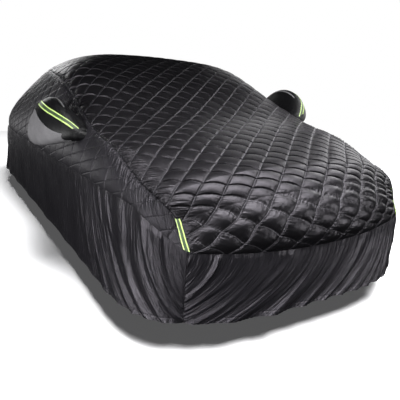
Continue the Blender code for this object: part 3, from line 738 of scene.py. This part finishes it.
FOLDS = {
    "skirt_right": (
        (0.00, 0.035, 0.020, 0.10, 0.24), (0.08, 0.040, 0.026, 0.10, 0.25),
        (0.16, 0.045, 0.030, 0.05, 0.34), (0.24, 0.035, 0.024, 0.10, 0.42),
        (0.36, 0.070, 0.022, 0.10, 0.42), (0.54, 0.080, 0.014, 0.20, 0.34),
        (0.76, 0.090, 0.011, 0.30, 0.22), (1.02, 0.100, 0.009, 0.40, 0.10),
        (1.40, 0.120, 0.007, 0.45, 0.03), (1.95, 0.140, 0.008, 0.40, -0.02),
        (2.60, 0.130, 0.007, 0.45, 0.00), (3.20, 0.110, 0.010, 0.35, -0.06),
        (3.62, 0.080, 0.014, 0.25, -0.14), (3.90, 0.060, 0.018, 0.15, -0.20),
        (4.08, 0.050, 0.016, 0.15, -0.22),
    ),
    "skirt_left": (
        (0.02, 0.035, 0.018, 0.10, 0.20), (0.10, 0.042, 0.024, 0.10, 0.24),
        (0.19, 0.045, 0.028, 0.05, 0.32), (0.29, 0.045, 0.022, 0.10, 0.36),
        (0.43, 0.070, 0.020, 0.15, 0.36), (0.62, 0.085, 0.013, 0.25, 0.26),
        (0.88, 0.100, 0.010, 0.35, 0.12), (1.30, 0.120, 0.008, 0.45, 0.02),
        (1.80, 0.130, 0.007, 0.40, 0.00), (2.45, 0.140, 0.008, 0.45, -0.02),
        (3.05, 0.110, 0.009, 0.40, -0.05), (3.50, 0.080, 0.013, 0.30, -0.12),
        (3.82, 0.060, 0.018, 0.15, -0.20), (4.05, 0.050, 0.016, 0.15, -0.22),
    ),
    "skirt_front": (
        (0.05, 0.070, 0.014, 0.15, 0.37), (0.23, 0.080, 0.024, 0.05, 0.40),
        (0.47, 0.075, 0.028, 0.05, 0.31), (0.67, 0.045, 0.020, 0.10, 0.26),
        (0.82, 0.040, 0.022, 0.10, 0.28), (0.95, 0.040, 0.020, 0.10, 0.30),
        (1.07, 0.038, 0.018, 0.15, 0.26), (1.18, 0.036, 0.016, 0.15, 0.22),
        (1.29, 0.034, 0.016, 0.20, 0.16), (1.40, 0.032, 0.014, 0.20, 0.10),
    ),
    "skirt_rear": (
        (0.14, 0.050, 0.018, 0.20, 0.16), (0.34, 0.060, 0.014, 0.30, 0.12),
        (0.66, 0.080, 0.009, 0.40, 0.04), (0.98, 0.070, 0.012, 0.35, -0.06),
        (1.22, 0.055, 0.016, 0.25, -0.12), (1.40, 0.045, 0.018, 0.20, -0.15),
    ),
}
# Finer creases that run along the folds: how many each piece has, over what distance from its ends
# they rise, and their smallest and largest width and height.
CREASE_COUNTS = {"skirt_right": 150, "skirt_left": 150, "skirt_front": 80, "skirt_rear": 60}
CREASE_FADE = 0.012
CREASE_TOP_FADE = 0.06  # share of the drop over which they rise from the seam
CREASE_WIDTH = (0.007, 0.024)
CREASE_HEIGHT = (0.0020, 0.0110)
HEM_GATHER = 0.0014  # height of the elastic's small gathers at the hem
HEM_GATHER_WAVES = ((0.034, 0.6), (0.023, 0.6))
HEM_GATHER_REACH = 0.030
HEM_STITCH = 0.024  # the hem's line of stitches lies this high above its edge
CREASE_CORNER_REACH = 0.55  # creases are narrower and higher this near to a corner


def hem_outline():
    """The hem on the left from front to rear: two quarter power curves, narrower to the rear."""
    turn = np.linspace(0.0, 0.5 * np.pi, 200)
    wide = np.sin(turn) ** (2.0 / HEM_POWER)
    deep = np.cos(turn) ** (2.0 / HEM_POWER)
    front_y = -(HEM_FRONT - HEM_END_DEPTH) - HEM_END_DEPTH * deep
    rear_y = (HEM_REAR - HEM_END_DEPTH) + HEM_END_DEPTH * deep[::-1]
    y = np.concatenate((front_y, rear_y))
    taper = HEM_TAPER * np.clip((y - HEM_TAPER_FROM) / (HEM_REAR - HEM_TAPER_FROM), 0.0, 1.0)
    x = HEM_HALF_WIDTH * np.concatenate((wide, wide[::-1])) * (1.0 - taper)
    return np.stack((x, y, np.full_like(x, HEM_HEIGHT)), axis=1)


def hem_piece(which):
    """The stretch of hem under one skirt, in the order of that skirt's rows."""
    outline = hem_outline()
    half = len(outline) // 2
    front_count = np.searchsorted(outline[:half, 0], HEM_FRONT_CORNER_X)
    rear_count = np.searchsorted(outline[:half - 1:-1, 0], HEM_REAR_CORNER_X)
    front = outline[:front_count + 1]
    rear = outline[len(outline) - rear_count - 1:]
    flip = np.array((-1.0, 1.0, 1.0))
    if which == "side":
        return outline[front_count:len(outline) - rear_count]
    if which == "front":
        return np.concatenate((front[::-1] * flip, front[1:]))
    return np.concatenate((rear, rear[-2::-1] * flip))


def spread(line, shares):
    """Points at shares of a line's length."""
    lengths = lengths_along(line)
    wanted = shares * lengths[-1]
    return np.stack([np.interp(wanted, lengths, line[:, axis]) for axis in range(3)], axis=1)


def fold_heights(shares, length, down, folds):
    """Soft ridges: a bell across each fold, leaning with the drop and growing towards the hem."""
    along = (shares * length)[:, None]
    drop = down[None, :]
    total = np.zeros((len(shares), len(down)))
    for row in folds:
        fold = dict(zip(FOLD_COLUMNS, row))
        ridge = fold["place"] + fold["lean"] * (1.0 - drop**FOLD_CURVE)
        from_ridge = (along - ridge) / fold["width"]
        growth = np.clip((drop - fold["top"]) / (1.0 - fold["top"]), 0.0, 1.0)
        total += fold["depth"] * np.exp(-np.abs(from_ridge) ** FOLD_FULLNESS) * growth
    return total


def unleaned(name, along, down):
    """Where along the hem each point of a skirt belongs when it is followed down its fold."""
    folds = np.array(FOLDS[name])
    rise = 1.0 - down[None, :] ** FOLD_CURVE
    place = np.broadcast_to(along[:, None], (len(along), len(down)))
    for _ in range(6):
        place = along[:, None] - np.interp(place, folds[:, 0], folds[:, 4]) * rise
    return place


def fine_creases(name, place, down, length):
    """Narrow ridges drawn at random along the folds, higher and closer together at the corners."""
    random = np.random.default_rng(sum(map(ord, name)))
    count = CREASE_COUNTS[name]
    even = np.linspace(-0.6, length + 0.1, count)
    crowd = np.interp(even, (-0.6, 0.6, length - 0.4, length), (-0.6, 0.35, length - 0.3, length))
    total = np.zeros(place.shape)
    for middle in crowd + random.uniform(-0.02, 0.02, count):
        from_end = np.clip(min(middle, length - middle), 0.0, None)
        near_end = np.exp(-from_end / CREASE_CORNER_REACH)
        width = random.uniform(*CREASE_WIDTH) * (1.4 - 0.4 * near_end)
        height = random.uniform(*CREASE_HEIGHT) * (0.30 + 0.90 * near_end)
        start, stop = np.sort(random.uniform(-0.3, 1.3, 2))
        sway = random.uniform(-0.05, 0.05) * (down - 0.5)[None, :]
        shape = np.exp(-np.abs((place - middle - sway) / width) ** 1.5)
        ends = 1.0 / (1.0 + np.exp((start - down) / 0.08)) / (1.0 + np.exp((down - stop) / 0.08))
        total += height * shape * ends[None, :]
    return total


def skirt_cloth():
    """Plain charcoal cloth: a fine weave, creases that run along the folds and a stitched hem."""
    finish = Finish("plain cloth", Specular_IOR_Level=0.5, Specular_Tint=CLOTH_SHEEN)
    place = finish.parted("cloth")[0]
    folds, _, above_hem = finish.parted("folds")
    cloud = finish.noise(place, 4.0, 3.0)
    crease = finish.noise(folds, 34.0, 3.0, (1.0, 0.12, 1.0))
    small = finish.noise(place, 60.0, 4.0, (1.0, 0.5, 1.0))
    from_stitch = finish.math("ABSOLUTE", above_hem - HEM_STITCH)
    stitch = finish.ramp(from_stitch, (0.0010, 0.0), (0.0045, 1.0))
    colour = finish.ramp(cloud, (0.25, (0.0105, 0.0099, 0.0120)),
                         (0.75, (0.0145, 0.0138, 0.0164)))
    return finish.finished(colour, cloud * 0.10 + 0.31,
                           (crease, 0.0160, 0.9),
                           (small, 0.0018, 0.5),
                           (stitch, 0.0015, 0.8),
                           (finish.weave(place), 0.00018, 0.35))


def build_skirt(name, top_line, hem_line, which, side, flat_size, carrier, material):
    """A skirt from an edge of the quilting to the hem, with its folds and finer creases."""
    steps, reached, rows = SKIRT_STEPS[which]
    shares = np.interp(np.arange(steps[-1] + 1), steps, reached)
    down = np.linspace(0.0, 1.0, rows + 1)
    top = spread(top_line, shares)
    hem = spread(hem_line, shares)
    length = lengths_along(hem_line)[-1]
    hem[:, 2] += HEM_WAVE * np.sin(shares * length * HEM_WAVE_TURNS) * np.sin(np.pi * shares)
    ahead = np.gradient(hem, shares, axis=0)
    out = np.stack((ahead[:, 1], -ahead[:, 0], np.zeros(len(hem))), axis=1)
    out /= np.linalg.norm(out, axis=1, keepdims=True)
    base = top[:, None] * (1.0 - down)[None, :, None] + hem[:, None] * down[None, :, None]
    near_end = np.clip(np.minimum(shares, 1.0 - shares) * length / FOLD_FADE, 0.0, 1.0)[:, None]
    heights = fold_heights(shares, length, down, FOLDS[name])
    along = shares * length
    place = unleaned(name, along, down)
    fine = fine_creases(name, place, down, length)
    base = base + out[:, None] * (heights * near_end)[:, :, None]
    fade = np.clip(down / CREASE_TOP_FADE, 0.0, 1.0)[None, :]
    drop = lengths_along(base, axis=1)
    above_hem = drop[:, -1:] - drop
    gather = uneven(along, 31, HEM_GATHER_WAVES)[:, None]
    fade = fade * np.clip(near_end * FOLD_FADE / CREASE_FADE, 0.0, 1.0)
    fine = fine * fade + HEM_GATHER * (gather + 1.0) * np.exp(-above_hem / HEM_GATHER_REACH)
    outer = base + normals_of(base) * (SKIRT_THICKNESS + fine)[:, :, None]
    piece = cloth_mesh(f"hanging_{name}", side, outer, base, INSIDE_STEP,
                       cloth=points_of(along[:, None], drop), folds=points_of(place, above_hem))
    dress(piece, name, material, "plain_cloth", flat=flat_size, held="hung", rests_on=[carrier])


plain_cloth = skirt_cloth()
all_across = np.linspace(-1.0, 1.0, 89)
front_edge = top_surface(np.array((0.0,)), all_across)[0]
rear_edge = top_surface(STATION_KNOTS[-1:], all_across[::-1])[0]
side_edge = band_surface(np.linspace(*SIDE_ENDS, 400), np.array((0.0, 1.0)))[:, -1]
for word, edge, which, side, cut, carrier in (
        ("front", front_edge, "front", 1, (1.85, 0.38), "top_panel"),
        ("rear", rear_edge, "rear", 1, (1.65, 0.42), "top_panel"),
        ("right", side_edge, "side", -1, (4.60, 0.56), "band_right"),
        ("left", side_edge, "side", 1, (4.60, 0.56), "band_left")):
    build_skirt(f"skirt_{word}", edge, hem_piece(which), which, side, cut, carrier, plain_cloth)


# ---- Pockets ----
# On each side a swollen pocket of thin black cloth is sewn into an oval hole of the band. A grey
# patch covers its lower outer part, a reflective strip runs over it, and a pale line along its top
# is a painted highlight.

POCKET_COLUMNS = ("centre_y", "centre_z", "tip_x", "tip_y", "tip_z", "swell")
POCKETS = {
    "right": (-0.700, 0.968, 0.230, 0.030, 0.040, 3.0),
    "left": (-0.600, 1.000, 0.200, 0.030, 0.130, 2.2),
}
POCKET_HALF_LENGTH = 0.270
POCKET_HALF_HEIGHT = 0.062
POCKET_TILT = 0.14  # rise of the hole's long axis to the rear, in radians
POCKET_FULLNESS = 0.75
POCKET_THICKNESS = 0.002
COLLAR_OUT = 0.013
COLLAR_DEPTH = 0.020
POCKET_STEPS = (112, 80)
POCKET_PUCKER = 0.0030
POCKET_WAVES = ((0.026, 0.6), (0.041, 0.6))
PUCKER_FROM_HOLE = 0.045  # where the pocket's puckers are highest
PUCKER_SPREAD = 0.030
PATCH_LONG = (2.0 / 14.0, 11.0 / 14.0)
# The patch's upper edge: how far round the pocket it lies at each angle along it.
PATCH_EDGE = ((0.45, 1.14, 1.70, 2.47), (1.72, 1.52, 1.40, 1.38))
PATCH_LOW = 0.9
PATCH_STEPS = (64, 40)
PATCH_LIFT = 0.0005
TRIM_THICKNESS = 0.0015
STRIP_WIDTH = 0.032
STRIP_LONG = (0.36, 1.98)
# The strip's middle: how far round the pocket it lies at each angle along it.
STRIP_ROUND = ((0.36, 0.70, 1.10, 1.50, 1.98), (0.62, 0.98, 1.16, 1.20, 1.16))
STRIP_STEPS = (72, 8)
STRIP_LIFT = 0.0009
RIB_PITCH = 0.0035  # of the tape's crosswise ribs
TOP_HIGHLIGHT_ROUND = 0.62  # the painted highlight's angles round the pocket and, from its start, along it
TOP_HIGHLIGHT_START = 1.10
# colour of the painted highlight along the pocket's top
TOP_HIGHLIGHT_COLOUR = (0.24, 0.24, 0.25, 1.0)
PATCH_RIM_COLOUR = (0.40, 0.40, 0.41, 1.0)


def band_x_at(y, height):
    """How far out the left side band lies at a given y and height."""
    fine = np.linspace(*SIDE_ENDS, 300)
    place = np.interp(y, stations_at(fine)["seam_y"], fine)
    column = band_grid(np.array((place,)), np.linspace(0.0, 1.0, 60))[0]
    return np.interp(height, column[::-1, 2], column[::-1, 0])


def hole_line(pocket, angles):
    """y and height of points round a pocket's oval hole."""
    length = -POCKET_HALF_LENGTH * np.cos(angles)
    rise = POCKET_HALF_HEIGHT * np.sin(angles)
    y = pocket["centre_y"] + length * np.cos(POCKET_TILT) - rise * np.sin(POCKET_TILT)
    height = pocket["centre_z"] + length * np.sin(POCKET_TILT) + rise * np.cos(POCKET_TILT)
    return y, height


def pocket_grid(pocket, long_angles, round_angles):
    """A pocket on the left: an arch from the hole's upper to its lower edge at each angle."""
    long_angles, round_angles = np.atleast_1d(long_angles, round_angles)
    edges = []
    for turn in (1.0, -1.0):
        y, height = hole_line(pocket, turn * long_angles)
        x = COLLAR_OUT + np.array([band_x_at(*point) for point in zip(y, height)])
        edges.append(np.stack((x, y, height), axis=1))
    upper, lower = edges[0][:, None], edges[1][:, None]
    around = round_angles[None, :, None]
    full = (np.abs(np.sin(long_angles)) ** POCKET_FULLNESS)[:, None, None]
    rise = np.abs(np.sin(around)) ** POCKET_FULLNESS
    taller = 1.0 + pocket["swell"] * full * np.sin(around)
    across = 0.5 * (upper - lower) * np.cos(around) * taller
    tip = np.array((pocket["tip_x"], pocket["tip_y"], pocket["tip_z"]))
    return 0.5 * (upper + lower) + across + tip * full * rise


def pocket_finish():
    """Thin black cloth, slightly glossy, with fine wrinkles and a pale line painted along its top
    as a highlight.
    """
    finish = Finish("pocket cloth", Specular_IOR_Level=0.4)
    place = finish.parted("cloth")[0]
    crease = finish.noise(place, 60.0, 4.0, (0.4, 1.0, 1.0))
    cloud = finish.noise(place, 12.0, 2.0)
    _, long_angle, round_angle = finish.parted("angles")
    black = finish.ramp(cloud, (0.3, (0.0040, 0.0040, 0.0045)),
                        (0.7, (0.0070, 0.0070, 0.0080)))
    # A pale line painted across the pocket's upper curve, at no seam: a painted highlight.
    from_top_highlight = finish.math("ABSOLUTE", round_angle - TOP_HIGHLIGHT_ROUND)
    top_highlight = finish.math("LESS_THAN", from_top_highlight, 0.035)
    top_highlight = top_highlight * finish.math("GREATER_THAN", long_angle, TOP_HIGHLIGHT_START)
    colour = finish.mix(top_highlight, black, TOP_HIGHLIGHT_COLOUR)
    return finish.finished(colour, cloud * 0.1 + 0.40, (crease, 0.0030, 0.8),
                           (finish.weave(place), 0.00016, 0.35))


def patch_finish():
    """Matt grey cloth with a visible weave, and a pale rim with its stitches at the lower edge."""
    finish = Finish("grey cloth", Specular_IOR_Level=0.35)
    place = finish.parted("cloth")[0]
    cloud = finish.noise(place, 14.0, 3.0)
    crease = finish.noise(place, 50.0, 4.0)
    _, _, across = finish.parted("shares")
    grey = finish.ramp(cloud, (0.25, (0.145, 0.142, 0.150)), (0.75, (0.20, 0.196, 0.206)))
    rim = finish.ramp(across, (0.80, 0.0), (0.82, 0.7), (0.845, 0.0), (0.93, 0.0), (0.95, 1.0))
    colour = finish.mix(rim, grey, PATCH_RIM_COLOUR)
    return finish.finished(colour, cloud * 0.1 + 0.55, (crease, 0.0016, 0.6),
                           (finish.weave(place, 700.0), 0.0002, 0.4))


def strip_finish():
    """Reflective strip: two bright ribbed edges and a darker middle, across its width."""
    finish = Finish("reflective tape", Specular_IOR_Level=0.6)
    _, along, across = finish.parted("cloth")
    edge = finish.math("ABSOLUTE", across - 0.5)
    ribs = finish.math("SINE", along * (2.0 * np.pi / RIB_PITCH)) * 0.5 + 0.5
    bright = finish.math("GREATER_THAN", edge, 0.29)
    middle = finish.ramp(ribs, (0.0, (0.030, 0.055, 0.025)), (1.0, (0.10, 0.15, 0.08)))
    rim = finish.ramp(ribs, (0.0, (0.52, 0.82, 0.14)), (1.0, (0.80, 0.96, 0.42)))
    colour = finish.mix(bright, middle, rim)
    return finish.finished(colour, ribs * 0.1 + 0.28, (ribs, 0.0004, 0.5))


def build_pocket(word, side, pocket):
    """The swollen pocket: an arched grid with a collar tucked in behind the band."""
    long_angles = np.linspace(0.0, np.pi, POCKET_STEPS[0] + 1)
    round_angles = np.linspace(0.0, np.pi, POCKET_STEPS[1] + 1)
    dome = pocket_grid(pocket, long_angles, round_angles)
    tuck = np.array((COLLAR_DEPTH, 0.0, 0.0))
    outer = np.concatenate((dome[:, :1] - tuck, dome, dome[:, -1:] - tuck), axis=1)
    # Both ends of the pocket are points, so they take the normals of the rows beside them.
    wall = np.pad(normals_of(dome[1:-1]), ((1, 1), (1, 1), (0, 0)), mode="edge")
    flat = points_of(lengths_along(outer), lengths_along(outer, axis=1))
    angles = points_of(long_angles[:, None], np.concatenate(((0.0,), round_angles, (np.pi,))))
    from_hole = np.minimum(flat[:, :, 1], flat[:, -1:, 1] - flat[:, :, 1])
    ripple = uneven(flat[:, :, 0], 41, POCKET_WAVES)
    belt = np.exp(-(from_hole - PUCKER_FROM_HOLE) ** 2 / PUCKER_SPREAD**2)
    pucker = POCKET_PUCKER * (ripple + 1.0) * belt
    pucker = pucker[:, :, None] * np.minimum(1.0, 4.0 * np.sin(angles[:, :, :1]))
    shell = cloth_mesh(f"swollen_pocket_{word}", side, outer + pucker * wall,
                       outer - POCKET_THICKNESS * wall, 1, cloth=flat, angles=angles)
    dress(shell, f"pocket_{word}", pocket_cloth, "pocket_cloth", flat=(0.62, 0.66),
          held="stretched", rests_on=[f"band_{word}"])


def lay_trim(name, side, skin, lift, node, material, slot, flat, carrier, **coordinates):
    """A thin sheet sewn down on the cloth whose surface it is given, a lift above it."""
    out = normals_of(skin)
    inner = skin + lift * out
    piece = cloth_mesh(name, side, inner + TRIM_THICKNESS * out, inner, 1, **coordinates)
    dress(piece, node, material, slot, flat=flat, held="laid", rests_on=[carrier])


def build_patch(word, side, pocket):
    """The grey patch: the same arch from the patch's upper edge down, laid on the pocket."""
    long_angles = np.pi * np.linspace(*PATCH_LONG, PATCH_STEPS[0] + 1)
    share = np.linspace(0.0, 1.0, PATCH_STEPS[1] + 1)
    upper = np.interp(long_angles, *PATCH_EDGE)
    round_angles = upper[:, None] + (np.pi * PATCH_LOW - upper)[:, None] * share
    skin = np.array([pocket_grid(pocket, along, across)[0]
                     for along, across in zip(long_angles, round_angles)])
    lay_trim(f"grey_patch_{word}", side, skin, PATCH_LIFT, f"pocket_{word}_patch", grey_cloth,
             "grey_cloth", (0.36, 0.30), f"pocket_{word}",
             cloth=points_of(lengths_along(skin), lengths_along(skin, axis=1)),
             shares=points_of(np.linspace(0.0, 1.0, len(skin))[:, None], share))


def build_pocket_strip(word, side, pocket):
    """The strip: a smooth route over the pocket, as wide to both sides as the tape is."""
    long_angles = np.linspace(*STRIP_LONG, STRIP_STEPS[0] + 1)
    knots, values = np.array(STRIP_ROUND)
    route = smooth_through(knots, values[:, None], long_angles)[:, 0]
    step = 0.01
    across = np.linspace(-1.0, 1.0, STRIP_STEPS[1] + 1)
    route_points = np.array([pocket_grid(pocket, along, angle)[0, 0]
                             for along, angle in zip(long_angles, route)])
    ahead = np.gradient(route_points, axis=0)
    skin = []
    for along, angle, onward in zip(long_angles, route, ahead):
        beside = pocket_grid(pocket, along, angle + step * np.array((-1.0, 1.0)))[0]
        sideways = np.linalg.norm(np.cross(beside[1] - beside[0], unit(onward)))
        half = STRIP_WIDTH * step / sideways
        skin.append(pocket_grid(pocket, along, angle + half * across)[0])
    skin = np.array(skin)
    lay_trim(f"reflective_pocket_strip_{word}", side, skin, STRIP_LIFT, f"pocket_{word}_strip",
             reflective_tape, "reflective_tape", (0.032, 0.36), f"pocket_{word}",
             cloth=points_of(lengths_along(skin), np.linspace(0.0, 1.0, len(across))))


pocket_cloth = pocket_finish()
grey_cloth = patch_finish()
reflective_tape = strip_finish()
for word, side in (("right", -1), ("left", 1)):
    for build in (build_pocket, build_patch, build_pocket_strip):
        build(word, side, dict(zip(POCKET_COLUMNS, POCKETS[word])))


# ---- Corner strips ----
# A short strip of reflective tape at each side of the nose, bent over the corner seam between the
# top panel and the band and sewn down along both edges.

CORNER_STRIP_WIDTH = 0.025
CORNER_STRIP_STEPS = (48, 8)
CORNER_STRIP_LIFT = 0.0079


def build_corner_strip(word, side):
    """A strip bent over the corner seam: half on the top panel's edge, half on the band."""
    half = 0.5 * CORNER_STRIP_WIDTH
    down = np.linspace(1.0, 0.0, CORNER_STRIP_STEPS[0] + 1) * 0.94 + 0.02
    corner = STATION_PLACES["corner"]
    places = corner * (1.0 - down)
    inside_seam = 1.0 - half / stations_at(places)["seam_x"].mean()
    on_top = top_surface(places, np.array((inside_seam,)))[:, 0]
    on_seam = corner_line(down, front=True)
    beside = band_grid(np.array((corner + CORNER_BLEND,)), down)[0]
    on_band = on_seam + half * (beside - on_seam) / CORNER_BLEND
    share = np.linspace(0.0, 1.0, CORNER_STRIP_STEPS[1] + 1)
    skin = bent(on_top, on_seam, on_band, share)
    lay_trim(f"reflective_corner_strip_{word}", side, skin, CORNER_STRIP_LIFT,
             f"corner_{word}_strip", reflective_tape, "reflective_tape", (0.025, 0.17), "top_panel",
             cloth=points_of(lengths_along(skin), share))


build_corner_strip("right", -1)
build_corner_strip("left", 1)
